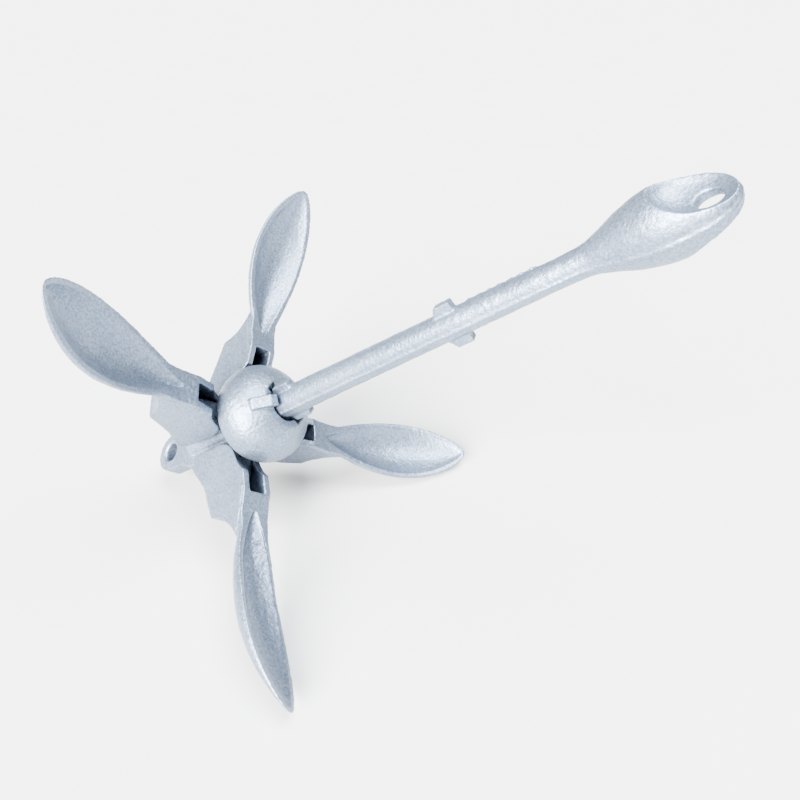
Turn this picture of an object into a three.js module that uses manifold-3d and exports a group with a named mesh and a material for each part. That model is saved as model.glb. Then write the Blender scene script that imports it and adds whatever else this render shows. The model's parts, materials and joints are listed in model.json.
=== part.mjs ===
// Folding grapnel anchor, about 420 mm long: an iron shank with a rope eye, a crown with a trip eye,
// four forked flukes on pivot pins, and a bell-shaped collar that slides on the shank.
// Units are millimetres. The anchor is built round its own axis, with the pivots at height 0 and the
// rope eye up, and is then laid over the way it rests on a floor: on its trip eye and two fluke tips.

import * as THREE from 'three';
import { mergeVertices } from 'three/addons/utils/BufferGeometryUtils.js';
import { ParametricGeometry } from 'three/addons/geometries/ParametricGeometry.js';
import Module from 'manifold-3d';

const wasm = await Module();
wasm.setup();

// Driving dimensions.
const GAP = 0.35; // clearance between pieces that touch on the real anchor
const EYE_HEIGHT = 330.5; // centre of the rope eye above the pivots
const HEAD_TOP = 343.6;
const EYE_RADIUS = 6.5;
const EYE_AZIMUTH = -21.5; // degrees, the direction of the rope eye's axis
const EYE_WEB = 3; // iron left between the two bowls of the head
const SHANK_RADIUS_LOW = 10.2;
const SHANK_RADIUS_HIGH = 7.9;
const HEAD_START = 262; // where the shank begins to swell into the head
const LUG_AZIMUTH = -33; // degrees, the plane of the lugs
const LUG_REACH = 13.8; // outer face of a lug from the anchor's axis
const LUG_WIDTH = 6.6;
const LUG_SLOPE = 3.3; // how far the lower end of a lug slopes back
const LOW_LUG_HEIGHT = 58.8; // middle of the lower pair of lugs, which stand in the collar's keyways
const LOW_LUG_LENGTH = 16.5;
const MID_LUG_HEIGHT = 188;
const MID_LUG_LENGTH = 14;

const TENON_RADIUS = 8;
const TENON_BOTTOM = -27;
const HUB_RADIUS = 12.6;
const HUB_TOP = 13;
const HUB_BOTTOM = -40;
const PIVOT_RADIUS = 35; // pivots from the anchor's axis
const TONGUE_THICKNESS = 11;
const TONGUE_NOSE = 14.5; // radius of a tongue's nose round its pivot
const TONGUE_NOTCH = 11.5; // a tongue's top edge is stepped down inside this radius, under the shank
const TRIP_EYE_HEIGHT = -65;
const TRIP_EYE_OUTER = 14;
const TRIP_EYE_HOLE = 6.5;
const TRIP_EYE_THICKNESS = 10;
const TRIP_EYE_FLARE = 3.5; // chamfer on both edges of the hole
const PIN_RADIUS = 4.5;
const PIN_LENGTH = 21.2;
const SHANK_PIN_RADIUS = 3;
const SHANK_PIN_HEIGHT = -14;
const SHANK_PIN_AZIMUTH = 135;

const ROOT_WIDTH = 22; // a fluke's fork across its two cheeks
const SLOT_WIDTH = 12.4;
const TIP_REACH = 140.3; // fluke tip from its pivot
const TIP_HEIGHT = 70.9;
const BLADE_HALF_WIDTH = 22;
const BLADE_THICKNESS = 5;
const RIM_WIDTH = 3; // flat rim left round the dish
const DISH_DEPTH = 7;
const DISH_CLEARANCE = 4; // how far the cut for the dish rises above the rims
const DISH_START = 0.08; // where along the blade the dish begins and ends
const DISH_END = 0.98;

const COLLAR_RIM = 19; // height of the bell's open edge
const COLLAR_CENTRE = 31; // height of the dome's widest ring
const COLLAR_RADIUS = 33.5;
const COLLAR_HALF_HEIGHT = 26;
const COLLAR_WALL = 4.6;
const COLLAR_NECK = 17.2; // flat ring round the bore
const COLLAR_BORE = 12.2;
const KEYWAY_WIDTH = 7.8;
const KEYWAY_REACH = 15.6;
const RIB_WIDTH = 7.5;
const RIB_TOP = 59; // height of a rib's inner end
const RIB_REACH = 27;
const RIB_AZIMUTH = 197;

// Each fluke's place round the shank, and the few degrees by which its loose pin lets it stand off.
const FLUKES = [
  { name: 'a', azimuth: 180, play: 0.7, twist: -4 },
  { name: 'b', azimuth: 90, play: 1.2, twist: -4 },
  { name: 'c', azimuth: 0, play: 3.9, twist: 0 },
  { name: 'd', azimuth: 270, play: -4.7, twist: -20 },
];

const CAST_IRON = { color: 0xc3ccd6, roughness: 0.5, metalness: 0.6 };
const PIN_STEEL = { color: 0xa9b1ba, roughness: 0.45, metalness: 0.8 };

const radians = THREE.MathUtils.degToRad;

// Solids: closed geometries go in and out of the boolean kernel.

function toSolid(geometry) {
  const bare = geometry.clone();
  bare.deleteAttribute('normal');
  bare.deleteAttribute('uv');
  const merged = mergeVertices(bare, 1e-3);
  const mesh = new wasm.Mesh({
    numProp: 3,
    vertProperties: new Float32Array(merged.attributes.position.array),
    triVerts: new Uint32Array(merged.index.array),
  });
  return new wasm.Manifold(mesh);
}

function toGeometry(solid) {
  const mesh = solid.getMesh();
  const geometry = new THREE.BufferGeometry();
  geometry.setAttribute('position', new THREE.BufferAttribute(mesh.vertProperties, 3));
  geometry.setIndex(new THREE.BufferAttribute(mesh.triVerts, 1));
  geometry.computeVertexNormals();
  return geometry;
}

function makeMesh(name, geometry, finish) {
  const mesh = new THREE.Mesh(geometry, new THREE.MeshStandardMaterial(finish));
  mesh.name = name;
  return mesh;
}

// A body of revolution about Z from points of (radius, height).
function lathe(points, segments) {
  return new THREE.LatheGeometry(points, segments).rotateX(Math.PI / 2);
}

// A plate whose outline is drawn in radius and height, centred on the plane through the axis.
function uprightPlate(shape, thickness, curveSegments = 8) {
  const plate = new THREE.ExtrudeGeometry(shape, { depth: thickness, bevelEnabled: false, curveSegments });
  return plate.rotateX(Math.PI / 2).translate(0, thickness / 2, 0);
}

// A round bar along Y.
function crossBar(radius, length, segments = 24) {
  return new THREE.CylinderGeometry(radius, radius, length, segments);
}

function turned(geometry, azimuth) {
  return geometry.rotateZ(radians(azimuth));
}

// Shank: tenon, tapered bar and egg-shaped head, with two pairs of lugs.

function shankProfile() {
  const swell = new THREE.SplineCurve([
    new THREE.Vector2(SHANK_RADIUS_HIGH, HEAD_START),
    new THREE.Vector2(8.7, 272),
    new THREE.Vector2(11.8, 282),
    new THREE.Vector2(15.8, 293),
    new THREE.Vector2(18.7, 306),
    new THREE.Vector2(18.8, 317),
    new THREE.Vector2(16.6, 329),
    new THREE.Vector2(12, 337),
    new THREE.Vector2(6, 341.8),
    new THREE.Vector2(0, HEAD_TOP),
  ]);
  return [
    new THREE.Vector2(0, TENON_BOTTOM),
    new THREE.Vector2(TENON_RADIUS, TENON_BOTTOM),
    new THREE.Vector2(TENON_RADIUS, HUB_TOP + GAP),
    new THREE.Vector2(SHANK_RADIUS_LOW, HUB_TOP + GAP),
    ...swell.getPoints(22),
  ];
}

// A lug stands out on both sides of the shank, with its lower end sloped.
function lugPair(height, length) {
  const half = length / 2;
  const side = new THREE.Shape();
  side.moveTo(-LUG_REACH, -half + LUG_SLOPE);
  side.lineTo(-SHANK_RADIUS_HIGH, -half);
  side.lineTo(SHANK_RADIUS_HIGH, -half);
  side.lineTo(LUG_REACH, -half + LUG_SLOPE);
  side.lineTo(LUG_REACH, half);
  side.lineTo(-LUG_REACH, half);
  return turned(uprightPlate(side, LUG_WIDTH), LUG_AZIMUTH).translate(0, 0, height);
}

// One of the two bowls that lead to the rope eye, hollowed into the faces of the head.
function headBowl(side) {
  const bowl = new THREE.SphereGeometry(1, 28, 18).scale(18, 20.5, 24);
  const offset = 18 + EYE_WEB / 2;
  return turned(bowl.translate(side * offset, 0, EYE_HEIGHT + 2), EYE_AZIMUTH);
}

function ropeEyeBore() {
  const bore = crossBar(EYE_RADIUS, 40, 32).rotateZ(Math.PI / 2);
  return turned(bore, EYE_AZIMUTH).translate(0, 0, EYE_HEIGHT);
}

function makeShank() {
  const body = toSolid(lathe(shankProfile(), 32))
    .add(toSolid(lugPair(LOW_LUG_HEIGHT, LOW_LUG_LENGTH)))
    .add(toSolid(lugPair(MID_LUG_HEIGHT, MID_LUG_LENGTH)))
    .subtract(toSolid(headBowl(1)))
    .subtract(toSolid(headBowl(-1)))
    .subtract(toSolid(ropeEyeBore()))
    .subtract(toSolid(shankPinBar(SHANK_PIN_RADIUS + GAP, 40)));
  return makeMesh('shank', toGeometry(body), CAST_IRON);
}

function shankPinBar(radius, length) {
  const bar = crossBar(radius, length, 16).rotateZ(Math.PI / 2);
  return turned(bar, SHANK_PIN_AZIMUTH).translate(0, 0, SHANK_PIN_HEIGHT);
}

// Crown: a hub with four tongues, and the trip eye below.

function tongueShape() {
  const shape = new THREE.Shape();
  shape.moveTo(2, HUB_BOTTOM);
  shape.lineTo(18.5, HUB_BOTTOM);
  shape.lineTo(26, -34);
  shape.lineTo(44, -18.5);
  shape.quadraticCurveTo(49, -11, PIVOT_RADIUS + TONGUE_NOSE, 0);
  shape.absarc(PIVOT_RADIUS, 0, TONGUE_NOSE, 0, Math.PI / 2, false);
  shape.lineTo(TONGUE_NOTCH, TONGUE_NOSE);
  shape.lineTo(TONGUE_NOTCH, HUB_TOP - 0.5);
  shape.lineTo(2, HUB_TOP - 0.5);
  return shape;
}

function tripEyeShape() {
  const shape = new THREE.Shape();
  shape.moveTo(-18.5, HUB_BOTTOM + 4);
  shape.lineTo(-18.5, HUB_BOTTOM - 2);
  shape.lineTo(-TRIP_EYE_OUTER, -52);
  shape.lineTo(-TRIP_EYE_OUTER, TRIP_EYE_HEIGHT);
  shape.absarc(0, TRIP_EYE_HEIGHT, TRIP_EYE_OUTER, Math.PI, 2 * Math.PI, false);
  shape.lineTo(TRIP_EYE_OUTER, -52);
  shape.lineTo(18.5, HUB_BOTTOM - 2);
  shape.lineTo(18.5, HUB_BOTTOM + 4);
  return shape;
}

// The trip eye's hole, widening toward both faces of the eye.
function tripEyeBore() {
  const face = TRIP_EYE_THICKNESS / 2;
  const profile = [
    new THREE.Vector2(0, -face - 1),
    new THREE.Vector2(TRIP_EYE_HOLE + TRIP_EYE_FLARE + 1, -face - 1),
    new THREE.Vector2(TRIP_EYE_HOLE, TRIP_EYE_FLARE - face),
    new THREE.Vector2(TRIP_EYE_HOLE, face - TRIP_EYE_FLARE),
    new THREE.Vector2(TRIP_EYE_HOLE + TRIP_EYE_FLARE + 1, face + 1),
    new THREE.Vector2(0, face + 1),
  ];
  return lathe(profile, 32).rotateY(Math.PI / 2).translate(0, 0, TRIP_EYE_HEIGHT);
}

function pivotBar(radius, length, azimuth) {
  return turned(crossBar(radius, length).translate(PIVOT_RADIUS, 0, 0), azimuth);
}

function makeCrown() {
  const hub = new THREE.CylinderGeometry(HUB_RADIUS, HUB_RADIUS, HUB_TOP - HUB_BOTTOM, 32);
  hub.rotateX(Math.PI / 2).translate(0, 0, (HUB_TOP + HUB_BOTTOM) / 2);
  const tripEye = turned(uprightPlate(tripEyeShape(), TRIP_EYE_THICKNESS, 16), 90);
  let crown = toSolid(hub).add(toSolid(tripEye)).subtract(toSolid(tripEyeBore()));
  for (const fluke of FLUKES) {
    crown = crown.add(toSolid(turned(uprightPlate(tongueShape(), TONGUE_THICKNESS, 12), fluke.azimuth)));
    crown = crown.subtract(toSolid(pivotBar(PIN_RADIUS + GAP, 30, fluke.azimuth)));
  }
  const socketDepth = HUB_TOP - TENON_BOTTOM + GAP;
  const socket = new THREE.CylinderGeometry(TENON_RADIUS + GAP, TENON_RADIUS + GAP, socketDepth + 2, 32);
  socket.rotateX(Math.PI / 2).translate(0, 0, HUB_TOP - socketDepth / 2 + 1);
  crown = crown.subtract(toSolid(socket)).subtract(toSolid(shankPinBar(SHANK_PIN_RADIUS + GAP, 40)));
  return makeMesh('crown', toGeometry(crown), CAST_IRON);
}

// Fluke, drawn from its pivot: X outward, Z up.

function rootShape() {
  const shape = new THREE.Shape();
  shape.moveTo(-17.5, -24);
  shape.lineTo(5, -16.5);
  shape.lineTo(30.5, -2.5);
  shape.quadraticCurveTo(32, 18, 52, 29);
  shape.lineTo(52, 30.9);
  shape.lineTo(30, 28.2);
  shape.lineTo(16, 29);
  shape.lineTo(3, 25.5);
  shape.quadraticCurveTo(-1, 19, -8.5, 15.2);
  shape.quadraticCurveTo(-19.5, 9, -19.5, -4);
  return shape;
}

function slotShape() {
  const shape = new THREE.Shape();
  shape.moveTo(-30, -40);
  shape.lineTo(15, -40);
  shape.lineTo(15, 6);
  shape.lineTo(18.5, 50);
  shape.lineTo(-30, 50);
  return shape;
}

// The line along the middle of the blade at the height of its rims.
const bladeRim = new THREE.QuadraticBezierCurve(
  new THREE.Vector2(16, 26.6),
  new THREE.Vector2(86, 31),
  new THREE.Vector2(TIP_REACH, TIP_HEIGHT),
);

// Half the width of the leaf outline, from 0 at the root to 1 at the tip.
function leafWidth(v) {
  return BLADE_HALF_WIDTH * Math.max(0, Math.sin(Math.PI * v ** 1.3)) ** 0.6;
}

function dishWidth(v) {
  return (BLADE_HALF_WIDTH - RIM_WIDTH) * Math.max(0, Math.sin(Math.PI * v ** 1.2)) ** 0.7;
}

// A point beside the rim line: to one side, and below it square to it, turned by the blade's twist.
function besideRim(v, side, depth, twist, target) {
  const rim = bladeRim.getPoint(v);
  const along = bladeRim.getTangent(v);
  const turn = radians(twist) * THREE.MathUtils.smoothstep(v, 0, 0.5);
  const across = side * Math.cos(turn) + depth * Math.sin(turn);
  const below = depth * Math.cos(turn) - side * Math.sin(turn);
  target.set(rim.x + along.y * below, across, rim.y - along.x * below);
}

// The outside of the blade: u runs over its flat face from rim to rim and back under it.
function bladeSurface(twist) {
  return (u, v, target) => {
    const swell = Math.max(0, Math.sin(Math.PI * v));
    const across = Math.cos(2 * Math.PI * u);
    const bulge = (1 - across * across) ** 0.4;
    const back = (DISH_DEPTH * swell + BLADE_THICKNESS * Math.sqrt(swell)) * bulge;
    besideRim(v, leafWidth(v) * across, u <= 0.5 ? 0 : back, twist, target);
  };
}

// The hollow of the dish, closed above the rims.
function dishSurface(twist) {
  return (u, v, target) => {
    const swell = Math.max(0, Math.sin(Math.PI * v)) ** 0.8;
    const across = Math.cos(2 * Math.PI * u);
    const bowl = 1 - across * across;
    const depth = (u <= 0.5 ? -DISH_CLEARANCE : DISH_DEPTH) * swell * bowl;
    const place = THREE.MathUtils.lerp(DISH_START, DISH_END, v);
    besideRim(place, dishWidth(v) * across, depth, twist, target);
  };
}

function makeFlukeSolid(twist) {
  return toSolid(uprightPlate(rootShape(), ROOT_WIDTH, 6))
    .add(toSolid(new ParametricGeometry(bladeSurface(twist), 20, 18)))
    .subtract(toSolid(new ParametricGeometry(dishSurface(twist), 18, 16)))
    .subtract(toSolid(uprightPlate(slotShape(), SLOT_WIDTH)))
    .subtract(toSolid(crossBar(PIN_RADIUS + GAP, 40)));
}

// A fluke and its pin hang in a group at the pivot, turned to the fluke's azimuth and play.
function makeFluke(fluke, geometry) {
  const pivot = new THREE.Group();
  pivot.position.set(PIVOT_RADIUS, 0, 0);
  pivot.rotation.y = -radians(fluke.play);
  pivot.add(makeMesh(`fluke_${fluke.name}`, geometry, CAST_IRON));
  pivot.add(makeMesh(`pivot_pin_${fluke.name}`, crossBar(PIN_RADIUS, PIN_LENGTH), PIN_STEEL));
  const arm = new THREE.Group();
  arm.rotation.z = radians(fluke.azimuth);
  arm.add(pivot);
  return arm;
}

// Locking collar: a bell with a keyed bore and two ribs to turn it by.

// An arc of the dome's section between two angles above its widest ring.
function domeArc(radius, halfHeight, from, to) {
  const steps = 10;
  const points = [];
  for (let i = 0; i <= steps; i += 1) {
    const angle = THREE.MathUtils.lerp(from, to, i / steps);
    const height = COLLAR_CENTRE + halfHeight * Math.sin(angle);
    points.push(new THREE.Vector2(radius * Math.cos(angle), height));
  }
  return points;
}

function bellProfile() {
  const radius = COLLAR_RADIUS;
  const halfHeight = COLLAR_HALF_HEIGHT;
  const rim = COLLAR_RIM - COLLAR_CENTRE;
  const outer = domeArc(radius, halfHeight, Math.asin(rim / halfHeight), Math.acos(COLLAR_NECK / radius));
  const top = outer[outer.length - 1].y;
  const hollow = COLLAR_RADIUS - COLLAR_WALL;
  const hollowHeight = COLLAR_HALF_HEIGHT - COLLAR_WALL;
  const inner = domeArc(hollow, hollowHeight, Math.acos(COLLAR_BORE / hollow), Math.asin(rim / hollowHeight));
  const edge = new THREE.Vector2(COLLAR_BORE + 1.2, top);
  const bore = new THREE.Vector2(COLLAR_BORE, top - 1.2);
  return [...outer, edge, bore, ...inner, outer[0].clone()];
}

// A rib lies on the dome, flat beside the bore and then sloping down; its foot is sunk in the wall.
function ribShape() {
  const inner = COLLAR_BORE + 0.5;
  const shape = new THREE.Shape();
  shape.moveTo(inner, 51.5);
  shape.lineTo(18, 49);
  shape.lineTo(RIB_REACH, 42.5);
  shape.lineTo(RIB_REACH, 49.5);
  shape.lineTo(18, RIB_TOP - 0.6);
  shape.lineTo(inner, RIB_TOP);
  return shape;
}

function keyway(azimuth) {
  const height = 60;
  const slot = new THREE.BoxGeometry(KEYWAY_REACH, KEYWAY_WIDTH, height);
  return turned(slot.translate(KEYWAY_REACH / 2, 0, COLLAR_CENTRE + height / 2), azimuth);
}

function makeCollar() {
  let collar = toSolid(lathe(bellProfile(), 48));
  for (const half of [0, 180]) {
    collar = collar.add(toSolid(turned(uprightPlate(ribShape(), RIB_WIDTH), RIB_AZIMUTH + half)));
    collar = collar.subtract(toSolid(keyway(LUG_AZIMUTH + half)));
  }
  return makeMesh('locking_collar', toGeometry(collar), CAST_IRON);
}

// The anchor upright on its own axis.
function makeUprightAnchor() {
  const anchor = new THREE.Group();
  anchor.add(makeShank());
  anchor.add(makeCrown());
  anchor.add(makeCollar());
  anchor.add(makeMesh('shank_pin', shankPinBar(SHANK_PIN_RADIUS, 2 * HUB_RADIUS - 1), PIN_STEEL));
  for (const fluke of FLUKES) {
    anchor.add(makeFluke(fluke, toGeometry(makeFlukeSolid(fluke.twist))));
  }
  return anchor;
}

// Where a fluke's tip stands on the upright anchor.
function tipOf(name) {
  const fluke = FLUKES.find((entry) => entry.name === name);
  const tip = new THREE.Vector3(TIP_REACH, 0, TIP_HEIGHT);
  tip.applyAxisAngle(new THREE.Vector3(0, 1, 0), -radians(fluke.play));
  tip.x += PIVOT_RADIUS;
  return tip.applyAxisAngle(new THREE.Vector3(0, 0, 1), radians(fluke.azimuth));
}

// The direction square to the floor through two tips and a foot point, pointing up the shank.
function upFrom(foot, tipC, tipD) {
  const normal = tipC.clone().sub(foot).cross(tipD.clone().sub(foot)).normalize();
  return normal.z < 0 ? normal.negate() : normal;
}

// The upward direction, seen from the upright anchor, when the trip eye and tips C and D touch a floor.
function floorNormal() {
  const eye = new THREE.Vector3(0, 0, TRIP_EYE_HEIGHT);
  const rough = upFrom(eye, tipOf('c'), tipOf('d'));
  const foot = eye.addScaledVector(rough, -TRIP_EYE_OUTER);
  return upFrom(foot, tipOf('c'), tipOf('d'));
}

// Lays the anchor over so that the floor is Z = 0 and the shank leans toward +X.
function layOnFloor(anchor) {
  const up = floorNormal();
  const axis = new THREE.Vector3(0, 0, 1);
  const forward = axis.clone().addScaledVector(up, -axis.dot(up)).normalize();
  const left = up.clone().cross(forward);
  const toAnchor = new THREE.Matrix4().makeBasis(forward, left, up);
  anchor.setRotationFromMatrix(toAnchor.transpose());
  const model = new THREE.Group();
  model.add(anchor);
  model.updateMatrixWorld(true);
  const box = new THREE.Box3().setFromObject(model, true);
  const centre = box.getCenter(new THREE.Vector3());
  anchor.position.set(-centre.x, -centre.y, -box.min.z);
  return model;
}

export default layOnFloor(makeUprightAnchor());
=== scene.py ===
"""Folding grapnel anchor of galvanised cast iron, standing open on a pale floor.

The castings are drawn in millimetres on the anchor's own axis, with the pivots at height 0 and the rope eye
up. Each one is joined into a single skin and its edges are softened as in a sand mould. It is then laid into
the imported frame, whose joints say where the axis and the pivots are.
"""

import json
import math

import bmesh
import bpy
from mathutils import Matrix, Vector


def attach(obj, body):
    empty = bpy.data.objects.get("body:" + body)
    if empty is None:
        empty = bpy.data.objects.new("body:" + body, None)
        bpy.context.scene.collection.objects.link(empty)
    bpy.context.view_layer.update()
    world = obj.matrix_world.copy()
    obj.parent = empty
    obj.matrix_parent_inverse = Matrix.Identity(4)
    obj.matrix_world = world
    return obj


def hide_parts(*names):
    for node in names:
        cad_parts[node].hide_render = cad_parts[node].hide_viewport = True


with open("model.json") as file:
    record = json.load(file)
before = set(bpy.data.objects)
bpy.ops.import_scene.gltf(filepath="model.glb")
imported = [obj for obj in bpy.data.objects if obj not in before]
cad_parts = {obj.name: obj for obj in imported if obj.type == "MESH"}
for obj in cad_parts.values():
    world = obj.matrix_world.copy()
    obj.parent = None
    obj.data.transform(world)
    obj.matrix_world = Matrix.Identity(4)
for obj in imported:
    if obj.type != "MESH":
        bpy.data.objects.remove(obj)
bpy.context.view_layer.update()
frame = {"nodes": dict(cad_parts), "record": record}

# The castings' skins, in millimetres: their fineness, and the size and height of the lumps in them.
FULL_SKIN = 0.6
SKIN = FULL_SKIN
LUMPS = ((9.0, 0.4), (2.2, 0.34))

# Rounds of smoothing that soften a casting's edges.
HEAVY_ROUNDING = 9
THIN_ROUNDING = 4

# Shank.
HUB_TOP = 13.0
TENON_RADIUS = 8.0
TENON_BOTTOM = -27.0
TENON_CLEARANCE = 0.35
SHANK_FOOT = 13.4
HEAD_TOP = 344.8
EYE_HEIGHT = 330.5
EYE_RADIUS = 6.6
EYE_AZIMUTH = -21.5
EYE_WEB = 3.0
BOWL_AXES = (18.0, 20.5, 24.0)
BOWL_RISE = 2.0  # of the bowls' centres above the eye
SHANK_OUTLINE = (
    (10.2, SHANK_FOOT), (9.9, 40), (9.4, 90), (8.9, 150), (8.3, 210), (7.95, 250), (7.95, 262),
    (8.7, 272), (11.8, 282), (15.8, 293), (18.7, 306), (18.8, 317), (17.3, 329), (13.4, 337.4),
    (7.4, 342.7), (0.0, HEAD_TOP),
)
LUG_AZIMUTH = -33.0
LUG_REACH = 13.8
LUG_FOOT = 7.9
LUG_WIDTH = 6.6
LUG_SLOPE = 3.3
LUGS = ((58.8, 16.5), (188.0, 14.0))  # height and length of each pair
SEAM_RISE = 0.8
SEAM_WIDTH = 1.6
SEAM_START = 20.0
FLASH_AZIMUTH = 137.0
FLASH_SPAN = (203.0, 246.0)  # heights between which torn flash is left on the shank
FLASH_FOOT = 6.0
FLASH_EDGE = 8.3
FLASH_TEAR = 1.5  # how far its torn edge wanders outward
FLASH_THICKNESS = 1.2

# Crown.
HUB_RADIUS = 12.6
HUB_BOTTOM = -40.0
HUB_FOOT = 18.5
PIVOT_RADIUS = 35.0
TONGUE_THICKNESS = 11.0
TONGUE_NOSE = 14.5
TONGUE_NOTCH = 11.5
TRIP_EYE_HEIGHT = -65.0
TRIP_EYE_NECK = -52.0
TRIP_EYE_OUTER = 14.0
TRIP_EYE_HOLE = 6.5
TRIP_EYE_FLARE = 1.2
TRIP_EYE_THICKNESS = 12.0
PIN_BORE = 4.85
SHANK_PIN_BORE = 3.35
SHANK_PIN_HEIGHT = -14.0
SHANK_PIN_AZIMUTH = 135.0
CUTTER_LENGTH = 40.0  # of the bars that bore the long holes
PIVOT_CUTTER_LENGTH = 30.0

# Flukes: azimuth round the shank, play of the loose pin and twist of the blade, in degrees.
FLUKES = {
    "a": (180.0, 0.7, -4.0),
    "b": (90.0, 1.2, -4.0),
    "c": (0.0, 3.9, 0.0),
    "d": (270.0, -4.7, -20.0),
}
ROOT_WIDTH = 22.0
SLOT_WIDTH = 12.4
# The outline and height of a fine raised line on both cheeks.
CHEEK_LINE = ((14.0, 25.6), (42.0, 23.6), (42.0, 25.0), (14.0, 27.0))
LINE_RISE = 0.6
BLADE_LINE = ((16.0, 26.6), (86.0, 31.0), (140.3, 70.9))
BLADE_HALF_WIDTH = 22.0
BLADE_THICKNESS = 3.5
RIM_WIDTH = 3.0
DISH_DEPTH = 8.5
DISH_CLEARANCE = 4.0
DISH_START = 0.08
DISH_END = 0.98
BELLY_FULLNESS = 0.4

# Collar.
COLLAR_RIM = 19.0
COLLAR_CENTRE = 31.0
COLLAR_RADIUS = 33.5
COLLAR_HALF_HEIGHT = 26.0
COLLAR_WALL = 4.6
COLLAR_NECK = 17.2
COLLAR_BORE = 12.2
KEYWAY_WIDTH = 7.8
KEYWAY_REACH = 15.6
KEYWAY_TOP = 90.0  # well above the bell
RIB_WIDTH = 7.5
RIB_TOP = 59.0
RIB_REACH = 27.0
RIB_AZIMUTH = 197.0

# The camera, on the anchor's own axes: where it stands and its right-hand and upward directions.
CAMERA_SPOT = (-283.3, -200.6, 359.5)
CAMERA_RIGHT = (0.6459, -0.0659, 0.7606)
CAMERA_UP = (-0.3609, 0.8515, 0.3803)
CAMERA_LENS = 31.08
CAMERA_SHIFT = (0.0229, -0.0875)

# Studio. Each light: the way to it as right, up and backward from the camera, its spread in degrees, its
# strength and its colour.
KEY_LIGHT = ((-0.42, 0.06, 0.90), 36, 54, (1.0, 0.99, 0.97))
TOP_LIGHT = ((0.25, 0.80, 0.55), 40, 18, (0.94, 0.97, 1.0))
SKY_COLOUR = (0.78, 0.87, 1.0, 1)
SKY_STRENGTH = 0.35
FLOOR_REACH = 40.0
FLOOR_GREYS = ((0.43, 0.43, 0.43), (0.45, 0.45, 0.45))

# Zinc: colours of the grain, of the mottling and of the painted shade in recesses, and how many lumps go in
# a metre.
GRAIN_COLOURS = ((0.108, 0.142, 0.198), (0.208, 0.254, 0.322))
MOTTLE_COLOURS = ((0.80, 0.83, 0.88), (1.0, 1.0, 1.0))
# Painted shade: dark navy for the deepest slots and creases, white where nothing is near.
PAINTED_SHADE_COLOURS = ((0.04, 0.05, 0.09), (1.0, 1.0, 1.0))
GRAIN_SCALE = 700
LUMP_SCALE = 260
MOTTLE_SCALE = 45


def anchor_axes():
    """The anchor's own axes in the row frame, read from the joints, in metres."""
    joints = {joint["name"]: joint for joint in frame["record"]["behaviour"]["joints"]}
    up = Vector(joints["collar_slide"]["axis"]).normalized()
    pivots = {name: Vector(joints[f"fluke_{name}_hinge"]["pos_m"]) for name in FLUKES}
    out = (pivots["c"] - pivots["a"]).normalized()
    axes = Matrix((out, up.cross(out), up)).transposed().to_4x4()
    axes.translation = sum(pivots.values(), Vector()) / len(pivots)
    return axes


ANCHOR = anchor_axes()
ANCHOR_MM = ANCHOR @ Matrix.Scale(0.001, 4)


# Solids, drawn in millimetres.

def new_object(name, vertices, faces):
    mesh = bpy.data.meshes.new(name)
    mesh.from_pydata([tuple(v) for v in vertices], [], faces)
    piece = bpy.data.objects.new(name, mesh)
    bpy.context.scene.collection.objects.link(piece)
    face_out(piece)
    return piece


def face_out(piece):
    """Merges doubled points and turns every face outward."""
    bm = bmesh.new()
    bm.from_mesh(piece.data)
    bmesh.ops.remove_doubles(bm, verts=bm.verts, dist=1e-4)
    bmesh.ops.dissolve_degenerate(bm, edges=bm.edges, dist=1e-4)
    bmesh.ops.recalc_face_normals(bm, faces=bm.faces)
    bm.to_mesh(piece.data)
    bm.free()


def grid_solid(name, rows, closed_rows=False):
    """A closed skin over rows of points; each row is a ring."""
    count = len(rows[0])
    vertices = [point for row in rows for point in row]
    faces = []
    spans = len(rows) if closed_rows else len(rows) - 1
    for i in range(spans):
        for j in range(count):
            a = i * count + j
            b = i * count + (j + 1) % count
            shift = ((i + 1) % len(rows)) * count - i * count
            faces.append((a, b, b + shift, a + shift))
    return new_object(name, vertices, faces)


def lathe(name, outline, segments=96, loop=False):
    """A body of revolution about Z from points of (radius, height)."""
    rows = []
    for radius, height in outline:
        ring = []
        for k in range(segments):
            angle = 2 * math.pi * k / segments
            ring.append((radius * math.cos(angle), radius * math.sin(angle), height))
        rows.append(ring)
    return grid_solid(name, rows, closed_rows=loop)


def plate(name, outline, thickness, azimuth=0.0):
    """A plate whose outline is drawn in radius and height, centred on the plane through the axis."""
    half = thickness / 2
    count = len(outline)
    vertices = [(x, side * half, z) for side in (-1, 1) for x, z in outline]
    faces = [tuple(range(count)), tuple(range(2 * count - 1, count - 1, -1))]
    for k in range(count):
        step = (k + 1) % count
        faces.append((k, step, step + count, k + count))
    return turn(new_object(name, vertices, faces), azimuth)


def block(name, low, high, azimuth=0.0):
    outline = ((low[0], low[2]), (high[0], low[2]), (high[0], high[2]), (low[0], high[2]))
    piece = plate(name, outline, high[1] - low[1])
    piece.data.transform(Matrix.Translation((0, (high[1] + low[1]) / 2, 0)))
    return turn(piece, azimuth)


def bar(name, radius, length, direction, centre, segments=48):
    """A round bar along a direction."""
    half = length / 2
    outline = ((0, -half), (radius, -half), (radius, half), (0, half))
    piece = lathe(name, outline, segments)
    aim = Vector(direction).to_track_quat("Z", "Y").to_matrix().to_4x4()
    piece.data.transform(Matrix.Translation(centre) @ aim)
    return piece


def turn(piece, azimuth):
    piece.data.transform(Matrix.Rotation(math.radians(azimuth), 4, "Z"))
    return piece


def around(azimuth, radius=1.0, height=0.0):
    angle = math.radians(azimuth)
    return Vector((radius * math.cos(angle), radius * math.sin(angle), height))


def arc(centre, radius, start, end, steps):
    points = []
    for k in range(steps + 1):
        angle = math.radians(start + (end - start) * k / steps)
        points.append((centre[0] + radius * math.cos(angle), centre[1] + radius * math.sin(angle)))
    return points


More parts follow.
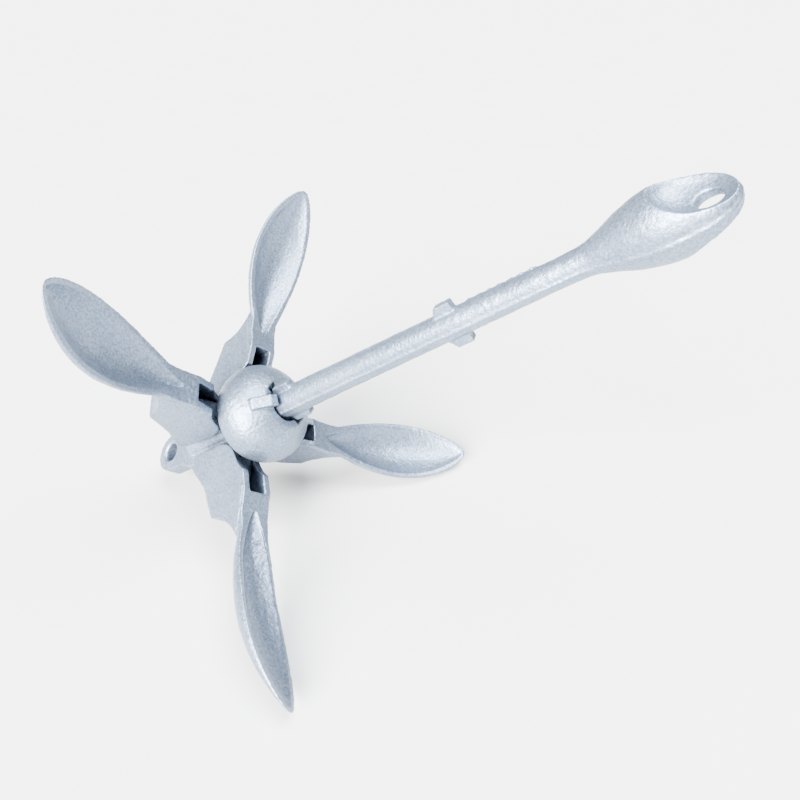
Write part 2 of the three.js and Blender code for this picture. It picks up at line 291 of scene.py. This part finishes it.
def curve(a, b, c, steps=12):
    """Points after a on the quadratic curve from a to c that leans toward b."""
    points = []
    for k in range(1, steps + 1):
        t = k / steps
        mix = ((1 - t) ** 2, 2 * t * (1 - t), t * t)
        points.append(tuple(mix[0] * p + mix[1] * q + mix[2] * r for p, q, r in zip(a, b, c)))
    return points


def smooth_outline(points, steps=8):
    """A Catmull-Rom curve through points of (radius, height)."""
    guide = [points[0], *points, points[-1]]
    outline = []
    for i in range(1, len(guide) - 2):
        p0, p1, p2, p3 = (Vector(p) for p in guide[i - 1:i + 3])
        for k in range(steps):
            t = k / steps
            q = p1 * 2 + (p2 - p0) * t + (p0 * 2 - p1 * 5 + p2 * 4 - p3) * t * t
            q += (p1 * 3 - p0 - p2 * 3 + p3) * t ** 3
            outline.append((max(0.0, q.x / 2), q.y / 2))
    outline.append(points[-1])
    return outline


# Joining, cutting and finishing.

def apply_modifier(piece, modifier):
    bpy.context.view_layer.objects.active = piece
    with bpy.context.temp_override(object=piece, active_object=piece, selected_objects=[piece]):
        bpy.ops.object.modifier_apply(modifier=modifier.name)


def combine(piece, other, operation):
    modifier = piece.modifiers.new("combine", "BOOLEAN")
    modifier.operation = operation
    modifier.solver = "EXACT"
    modifier.object = other
    apply_modifier(piece, modifier)
    bpy.data.objects.remove(other)


def remesh(piece, size):
    modifier = piece.modifiers.new("skin", "REMESH")
    modifier.mode = "VOXEL"
    modifier.voxel_size = size
    modifier.use_smooth_shade = True
    apply_modifier(piece, modifier)


def soften(piece, rounds, factor=0.5):
    modifier = piece.modifiers.new("soften", "SMOOTH")
    modifier.factor = factor
    modifier.iterations = rounds
    apply_modifier(piece, modifier)


def roughen(piece, size, height):
    """Pushes the skin in and out by up to half of height, in lumps of about size."""
    texture = bpy.data.textures.new(f"{piece.name}_lumps_{size}", "CLOUDS")
    texture.noise_scale = size
    texture.noise_depth = 2
    modifier = piece.modifiers.new("roughen", "DISPLACE")
    modifier.texture = texture
    modifier.texture_coords = "LOCAL"
    modifier.strength = height
    modifier.mid_level = 0.5
    apply_modifier(piece, modifier)


def cast(name, solids, cuts, rounding):
    """One casting: solids joined, cuts taken out, edges rounded and the skin left slightly uneven."""
    piece = solids[0]
    piece.name = name
    for solid in solids[1:]:
        combine(piece, solid, "UNION")
    for cut in cuts:
        combine(piece, cut, "DIFFERENCE")
    remesh(piece, SKIN)
    soften(piece, max(1, round(rounding * (FULL_SKIN / SKIN) ** 2)))
    for size, height in LUMPS:
        roughen(piece, size, height)
    return piece


def install(piece, placement, material, body, slot, *nodes):
    """Lays a finished piece into the row frame and ties it to its body."""
    piece.data.transform(placement)
    piece.data.materials.clear()
    piece.data.materials.append(material)
    for polygon in piece.data.polygons:
        polygon.use_smooth = True
    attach(piece, body)
    if nodes:
        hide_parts(*nodes)


# Shank.

def lug_outline(height, length):
    low = height - length / 2
    high = height + length / 2
    return (
        (-LUG_REACH, low + LUG_SLOPE), (-LUG_FOOT, low), (LUG_FOOT, low),
        (LUG_REACH, low + LUG_SLOPE), (LUG_REACH, high), (-LUG_REACH, high),
    )


def seam_outline(outline):
    """The parting line left by the mould: a thin fin on both sides, following the shank's outline."""
    edge = [(r + SEAM_RISE, z) for r, z in outline if z > SEAM_START]
    return [*edge, *[(-r, z) for r, z in reversed(edge)]]


def flash_outline():
    """A ragged scrap of iron left where the mould's halves met."""
    low, high = FLASH_SPAN
    steps = 30
    edge = []
    for k in range(steps + 1):
        ragged = 0.5 + 0.5 * math.sin(2.3 * k) * math.cos(0.9 * k)
        edge.append((FLASH_EDGE + FLASH_TEAR * ragged, low + (high - low) * k / steps))
    return [(FLASH_FOOT, low - 1), *edge, (FLASH_FOOT, high + 1)]


def head_bowl(side, steps=48, segments=72):
    """An egg-shaped cutter that hollows one side of the head, down to the web that holds the eye."""
    rows = []
    for i in range(steps + 1):
        polar = math.pi * i / steps
        ring = []
        for k in range(segments):
            angle = 2 * math.pi * k / segments
            ring.append((
                BOWL_AXES[0] * math.sin(polar) * math.cos(angle),
                BOWL_AXES[1] * math.sin(polar) * math.sin(angle),
                BOWL_AXES[2] * math.cos(polar),
            ))
        rows.append(ring)
    bowl = grid_solid("bowl", rows)
    offset = side * (BOWL_AXES[0] + EYE_WEB / 2)
    bowl.data.transform(Matrix.Translation((offset, 0, EYE_HEIGHT + BOWL_RISE)))
    return turn(bowl, EYE_AZIMUTH)


def shank_pin_bore():
    """The hole for the cross pin, through the crown and the tenon alike."""
    centre = (0, 0, SHANK_PIN_HEIGHT)
    return bar("pin_bore", SHANK_PIN_BORE, CUTTER_LENGTH, around(SHANK_PIN_AZIMUTH), centre)


def make_shank():
    outline = smooth_outline(SHANK_OUTLINE)
    tenon = [(0, TENON_BOTTOM), (TENON_RADIUS, TENON_BOTTOM), (TENON_RADIUS, SHANK_FOOT)]
    solids = [lathe("shank_body", [*tenon, *outline])]
    solids.append(plate("seam", seam_outline(outline), SEAM_WIDTH, EYE_AZIMUTH + 90))
    solids.append(plate("flash", flash_outline(), FLASH_THICKNESS, FLASH_AZIMUTH))
    solids += [plate("lugs", lug_outline(*lug), LUG_WIDTH, LUG_AZIMUTH) for lug in LUGS]
    cuts = [head_bowl(1), head_bowl(-1)]
    cuts.append(bar("eye_bore", EYE_RADIUS, CUTTER_LENGTH, around(EYE_AZIMUTH), (0, 0, EYE_HEIGHT)))
    cuts.append(shank_pin_bore())
    return cast("shank_casting", solids, cuts, HEAVY_ROUNDING)


# Crown.

def tongue_outline():
    nose = (PIVOT_RADIUS + TONGUE_NOSE, 0)
    inner = 2
    top = HUB_TOP - 0.5
    return [
        (inner, HUB_BOTTOM), (HUB_FOOT, HUB_BOTTOM), (26, -34), (44, -18.5),
        *curve((44, -18.5), (49, -11), nose),
        *arc((PIVOT_RADIUS, 0), TONGUE_NOSE, 0, 90, 20)[1:],
        (TONGUE_NOTCH, TONGUE_NOSE), (TONGUE_NOTCH, top), (inner, top),
    ]


def trip_eye_outline():
    foot = arc((0, TRIP_EYE_HEIGHT), TRIP_EYE_OUTER, 180, 360, 40)
    top = HUB_BOTTOM + 4
    shoulder = HUB_BOTTOM - 2
    return [
        (-HUB_FOOT, top), (-HUB_FOOT, shoulder), (-TRIP_EYE_OUTER, TRIP_EYE_NECK), *foot,
        (TRIP_EYE_OUTER, TRIP_EYE_NECK), (HUB_FOOT, shoulder), (HUB_FOOT, top),
    ]


def trip_eye_bore():
    """The hole of the trip eye, flared at both faces."""
    face = TRIP_EYE_THICKNESS / 2
    wide = TRIP_EYE_HOLE + TRIP_EYE_FLARE + 1
    outline = (
        (0, -face - 1), (wide, -face - 1), (TRIP_EYE_HOLE, TRIP_EYE_FLARE - face),
        (TRIP_EYE_HOLE, face - TRIP_EYE_FLARE), (wide, face + 1), (0, face + 1),
    )
    bore = lathe("trip_eye_bore", outline, 64)
    sideways = Matrix.Rotation(math.pi / 2, 4, "Y")
    bore.data.transform(Matrix.Translation((0, 0, TRIP_EYE_HEIGHT)) @ sideways)
    return bore


def make_crown():
    hub = ((0, HUB_BOTTOM), (HUB_RADIUS, HUB_BOTTOM), (HUB_RADIUS, HUB_TOP), (0, HUB_TOP))
    solids = [lathe("hub", hub), plate("trip_eye", trip_eye_outline(), TRIP_EYE_THICKNESS, 90)]
    depth = HUB_TOP - TENON_BOTTOM + 2
    middle = (0, 0, HUB_TOP + 1 - depth / 2)
    cuts = [trip_eye_bore(), bar("socket", TENON_RADIUS + TENON_CLEARANCE, depth, (0, 0, 1), middle)]
    cuts.append(shank_pin_bore())
    for azimuth, _, _ in FLUKES.values():
        solids.append(plate("tongue", tongue_outline(), TONGUE_THICKNESS, azimuth))
        pivot = around(azimuth, PIVOT_RADIUS)
        cuts.append(bar("pivot_bore", PIN_BORE, PIVOT_CUTTER_LENGTH, around(azimuth + 90), pivot))
    return cast("crown_casting", solids, cuts, HEAVY_ROUNDING)


# Flukes, drawn from the pivot: X outward, Z up.

def root_outline():
    """The forked root from the side: its underside, the start of the blade, its top and its round nose."""
    return [
        (-17.5, -24), (5, -16.5), (30.5, -2.5), *curve((30.5, -2.5), (32, 18), (52, 29)), (52, 30.9),
        (30, 28.2), (16, 29), (3, 25.5), *curve((3, 25.5), (-1, 19), (-8.5, 15.2), 6),
        *curve((-8.5, 15.2), (-19.5, 9), (-19.5, -4)),
    ]


def slot_outline():
    """The slot between the fork's cheeks, open toward the crown."""
    return [(-30, -40), (15, -40), (15, 6), (18.5, 50), (-30, 50)]


def blade_line(v):
    """A point of the line along the middle of the blade, and the direction of the line there."""
    a, b, c = (Vector(p) for p in BLADE_LINE)
    point = a * (1 - v) ** 2 + b * 2 * v * (1 - v) + c * v * v
    along = ((b - a) * (1 - v) + (c - b) * v).normalized()
    return point, along


def beside_line(v, side, depth, twist):
    """A point to one side of the line and below it, turned by the blade's twist."""
    point, along = blade_line(v)
    ease = min(1.0, v / 0.5)
    turn_angle = math.radians(twist) * ease * ease * (3 - 2 * ease)
    across = side * math.cos(turn_angle) + depth * math.sin(turn_angle)
    below = depth * math.cos(turn_angle) - side * math.sin(turn_angle)
    return (point.x + along.y * below, across, point.y - along.x * below)


def leaf(v, lean=1.0, fullness=1.0):
    """A leaf's width at v along it, from 0 at both ends up to 1; a low fullness gives it blunt ends."""
    return max(0.0, math.sin(math.pi * v ** lean)) ** fullness


def blade_solid(twist, rows=96, columns=96):
    """The outside of the blade: a leaf outline, flat on top and bulging below."""
    skin = []
    for i in range(rows + 1):
        v = i / rows
        swell = leaf(v)
        width = BLADE_HALF_WIDTH * leaf(v, 1.3, 0.6)
        thick = DISH_DEPTH * swell + BLADE_THICKNESS * math.sqrt(swell)
        ring = []
        for k in range(columns):
            angle = 2 * math.pi * k / columns
            across = math.cos(angle)
            depth = 0.0 if k <= columns / 2 else thick * (1 - across * across) ** BELLY_FULLNESS
            ring.append(beside_line(v, width * across, depth, twist))
        skin.append(ring)
    return grid_solid("blade", skin)


def dish_solid(twist, rows=72, columns=64):
    """The hollow of the dish, closed above the rims."""
    skin = []
    for i in range(rows + 1):
        v = i / rows
        swell = leaf(v, 0.85, 0.7)
        width = (BLADE_HALF_WIDTH - RIM_WIDTH) * leaf(v, 1.2, 0.7)
        place = DISH_START + (DISH_END - DISH_START) * v
        ring = []
        for k in range(columns):
            across = math.cos(2 * math.pi * k / columns)
            reach = -DISH_CLEARANCE if k <= columns / 2 else DISH_DEPTH
            depth = reach * swell * (1 - across * across)
            ring.append(beside_line(place, width * across, depth, twist))
        skin.append(ring)
    return grid_solid("dish", skin)


def make_fluke(name, twist):
    solids = [plate("root", root_outline(), ROOT_WIDTH), blade_solid(twist)]
    solids.append(plate("cheek_line", CHEEK_LINE, ROOT_WIDTH + 2 * LINE_RISE))
    cuts = [dish_solid(twist), plate("slot", slot_outline(), SLOT_WIDTH)]
    return cast(f"fluke_{name}_casting", solids, cuts, THIN_ROUNDING)


def fluke_placement(azimuth, play):
    """From a fluke's own drawing to where it stands in the row frame."""
    lean = Matrix.Rotation(-math.radians(play), 4, "Y")
    pivot = Matrix.Translation((PIVOT_RADIUS, 0, 0))
    return ANCHOR_MM @ Matrix.Rotation(math.radians(azimuth), 4, "Z") @ pivot @ lean


# Collar.

def dome_arc(radius, half_height, start, end, steps=32):
    points = []
    for k in range(steps + 1):
        angle = start + (end - start) * k / steps
        points.append((radius * math.cos(angle), COLLAR_CENTRE + half_height * math.sin(angle)))
    return points


def bell_outline():
    """The wall of the bell: up the outside, in to the bore and down the inside."""
    rim = COLLAR_RIM - COLLAR_CENTRE
    start = math.asin(rim / COLLAR_HALF_HEIGHT)
    end = math.acos(COLLAR_NECK / COLLAR_RADIUS)
    outer = dome_arc(COLLAR_RADIUS, COLLAR_HALF_HEIGHT, start, end)
    hollow = COLLAR_RADIUS - COLLAR_WALL
    hollow_height = COLLAR_HALF_HEIGHT - COLLAR_WALL
    inner_start = math.acos(COLLAR_BORE / hollow)
    inner = dome_arc(hollow, hollow_height, inner_start, math.asin(rim / hollow_height))
    return [*outer, (COLLAR_BORE, outer[-1][1]), *inner]


def rib_outline():
    """A rib lies on the dome, flat beside the bore and then sloping down; its foot is sunk in the wall."""
    inner = COLLAR_BORE + 0.5
    return (
        (inner, 51.5), (18, 49), (RIB_REACH, 42.5),
        (RIB_REACH, 49.5), (18, RIB_TOP - 0.6), (inner, RIB_TOP),
    )


def make_collar():
    solids = [lathe("bell", bell_outline(), loop=True)]
    cuts = []
    for half in (0, 180):
        solids.append(plate("rib", rib_outline(), RIB_WIDTH, RIB_AZIMUTH + half))
        low = (0, -KEYWAY_WIDTH / 2, COLLAR_CENTRE)
        high = (KEYWAY_REACH, KEYWAY_WIDTH / 2, KEYWAY_TOP)
        cuts.append(block("keyway", low, high, LUG_AZIMUTH + half))
    return cast("collar_casting", solids, cuts, THIN_ROUNDING)


# Materials.

def colour_ramp(nodes, low, high, low_at=0.3, high_at=0.7):
    ramp = nodes.new("ShaderNodeValToRGB")
    ramp.color_ramp.elements[0].position = low_at
    ramp.color_ramp.elements[0].color = (*low, 1)
    ramp.color_ramp.elements[1].position = high_at
    ramp.color_ramp.elements[1].color = (*high, 1)
    return ramp


def noise_node(nodes, links, coordinates, scale, detail, roughness=0.6):
    noise = nodes.new("ShaderNodeTexNoise")
    noise.inputs["Scale"].default_value = scale
    noise.inputs["Detail"].default_value = detail
    noise.inputs["Roughness"].default_value = roughness
    links.new(coordinates, noise.inputs["Vector"])
    return noise.outputs["Fac"]


def multiply(nodes, links, first, second):
    mix = nodes.new("ShaderNodeMix")
    mix.data_type = "RGBA"
    mix.blend_type = "MULTIPLY"
    mix.inputs["Factor"].default_value = 1.0
    links.new(first, mix.inputs["A"])
    links.new(second, mix.inputs["B"])
    return mix.outputs["Result"]


def bump_node(nodes, links, height, strength, distance, below=None):
    bump = nodes.new("ShaderNodeBump")
    bump.inputs["Strength"].default_value = strength
    bump.inputs["Distance"].default_value = distance
    links.new(height, bump.inputs["Height"])
    if below is not None:
        links.new(below, bump.inputs["Normal"])
    return bump.outputs["Normal"]


def galvanised_iron():
    """Zinc over sand-cast iron: pale bluish silver, mottled, with a fine sandy grain, and painted shade
    darkening the recesses.
    """
    material = bpy.data.materials.new("galvanised_iron")
    material.use_nodes = True
    nodes = material.node_tree.nodes
    links = material.node_tree.links
    shader = nodes["Principled BSDF"]
    coordinates = nodes.new("ShaderNodeTexCoord").outputs["Object"]
    grain = noise_node(nodes, links, coordinates, GRAIN_SCALE, 3, 0.7)
    lumps = noise_node(nodes, links, coordinates, LUMP_SCALE, 4)
    mottle = noise_node(nodes, links, coordinates, MOTTLE_SCALE, 3)
    fine = colour_ramp(nodes, *GRAIN_COLOURS, 0.36, 0.64)
    broad = colour_ramp(nodes, *MOTTLE_COLOURS)
    links.new(grain, fine.inputs["Fac"])
    links.new(mottle, broad.inputs["Fac"])
    zinc = multiply(nodes, links, fine.outputs["Color"], broad.outputs["Color"])
    # Painted shade: ambient occlusion darkens the base colour in slots, creases and recesses, where shade
    # falls.
    ambient_occlusion = nodes.new("ShaderNodeAmbientOcclusion")
    ambient_occlusion.samples = 8
    ambient_occlusion.inputs["Distance"].default_value = 0.02
    shade = colour_ramp(nodes, *PAINTED_SHADE_COLOURS, 0.15, 0.72)
    links.new(ambient_occlusion.outputs["AO"], shade.inputs["Fac"])
    links.new(multiply(nodes, links, zinc, shade.outputs["Color"]), shader.inputs["Base Color"])
    dull = nodes.new("ShaderNodeMapRange")
    dull.inputs["To Min"].default_value = 0.34
    dull.inputs["To Max"].default_value = 0.48
    links.new(lumps, dull.inputs["Value"])
    links.new(dull.outputs["Result"], shader.inputs["Roughness"])
    coarse = bump_node(nodes, links, lumps, strength=0.5, distance=0.0006)
    rough = bump_node(nodes, links, grain, strength=0.7, distance=0.0004, below=coarse)
    links.new(rough, shader.inputs["Normal"])
    shader.inputs["Metallic"].default_value = 0.8
    return material


def zinc_pin():
    """Steel pin, zinc plated: duller grey, faintly stained."""
    material = bpy.data.materials.new("zinc_pin")
    material.use_nodes = True
    nodes = material.node_tree.nodes
    links = material.node_tree.links
    shader = nodes["Principled BSDF"]
    coordinates = nodes.new("ShaderNodeTexCoord").outputs["Object"]
    stain = noise_node(nodes, links, coordinates, 300, 3)
    tone = colour_ramp(nodes, (0.36, 0.38, 0.41), (0.62, 0.65, 0.68))
    links.new(stain, tone.inputs["Fac"])
    links.new(tone.outputs["Color"], shader.inputs["Base Color"])
    links.new(bump_node(nodes, links, stain, strength=0.3, distance=0.0002), shader.inputs["Normal"])
    shader.inputs["Metallic"].default_value = 0.85
    shader.inputs["Roughness"].default_value = 0.42
    return material


def studio_floor():
    material = bpy.data.materials.new("studio_floor")
    material.use_nodes = True
    nodes = material.node_tree.nodes
    links = material.node_tree.links
    shader = nodes["Principled BSDF"]
    coordinates = nodes.new("ShaderNodeTexCoord").outputs["Object"]
    tone = colour_ramp(nodes, *FLOOR_GREYS)
    links.new(noise_node(nodes, links, coordinates, 6, 2), tone.inputs["Fac"])
    links.new(tone.outputs["Color"], shader.inputs["Base Color"])
    shader.inputs["Roughness"].default_value = 0.9
    return material


# Studio.

def make_floor():
    mesh = bpy.data.meshes.new("floor")
    corners = [(x * FLOOR_REACH, y * FLOOR_REACH, 0) for x, y in ((-1, -1), (1, -1), (1, 1), (-1, 1))]
    mesh.from_pydata(corners, [], [(0, 1, 2, 3)])
    floor = bpy.data.objects.new("floor", mesh)
    floor.data.materials.append(studio_floor())
    bpy.context.scene.collection.objects.link(floor)


def make_world():
    world = bpy.data.worlds.new("studio")
    world.use_nodes = True
    background = world.node_tree.nodes["Background"]
    background.inputs["Color"].default_value = SKY_COLOUR
    background.inputs["Strength"].default_value = SKY_STRENGTH
    bpy.context.scene.world = world


def camera_turn():
    """The camera's right, up and backward directions in the row frame."""
    turn_to_row = ANCHOR.to_3x3()
    right = (turn_to_row @ Vector(CAMERA_RIGHT)).normalized()
    up = (turn_to_row @ Vector(CAMERA_UP)).normalized()
    return Matrix((right, up, right.cross(up))).transposed()


def add_soft_sun(name, source, spread, strength, colour):
    """A broad, even light from a direction given as right, up and backward from the camera."""
    data = bpy.data.lights.new(name, "SUN")
    data.angle = math.radians(spread)
    data.energy = strength
    data.color = colour
    light = bpy.data.objects.new(name, data)
    light.rotation_euler = (camera_turn() @ Vector(source)).to_track_quat("Z", "Y").to_euler()
    bpy.context.scene.collection.objects.link(light)


def make_camera():
    data = bpy.data.cameras.new("camera")
    data.lens = CAMERA_LENS
    data.sensor_width = 36.0
    data.shift_x, data.shift_y = CAMERA_SHIFT
    data.clip_start = 0.01
    camera = bpy.data.objects.new("camera", data)
    pose = camera_turn().to_4x4()
    pose.translation = ANCHOR_MM @ Vector(CAMERA_SPOT)
    camera.matrix_world = pose
    bpy.context.scene.collection.objects.link(camera)
    bpy.context.scene.camera = camera


def main():
    make_camera()
    make_floor()
    make_world()
    add_soft_sun("key", *KEY_LIGHT)
    add_soft_sun("top", *TOP_LIGHT)
    iron = galvanised_iron()
    install(make_shank(), ANCHOR_MM, iron, "frame", "galvanised_iron", "shank")
    install(make_crown(), ANCHOR_MM, iron, "frame", "galvanised_iron", "crown")
    install(make_collar(), ANCHOR_MM, iron, "collar", "galvanised_iron", "locking_collar")
    for name, (azimuth, play, twist) in FLUKES.items():
        placement = fluke_placement(azimuth, play)
        body = f"fluke_{name}"
        install(make_fluke(name, twist), placement, iron, body, "galvanised_iron", body)
    pin_finish = zinc_pin()
    for node in ("shank_pin", *(f"pivot_pin_{name}" for name in FLUKES)):
        pin = frame["nodes"][node]
        pin.data.materials.clear()
        pin.data.materials.append(pin_finish)


main()
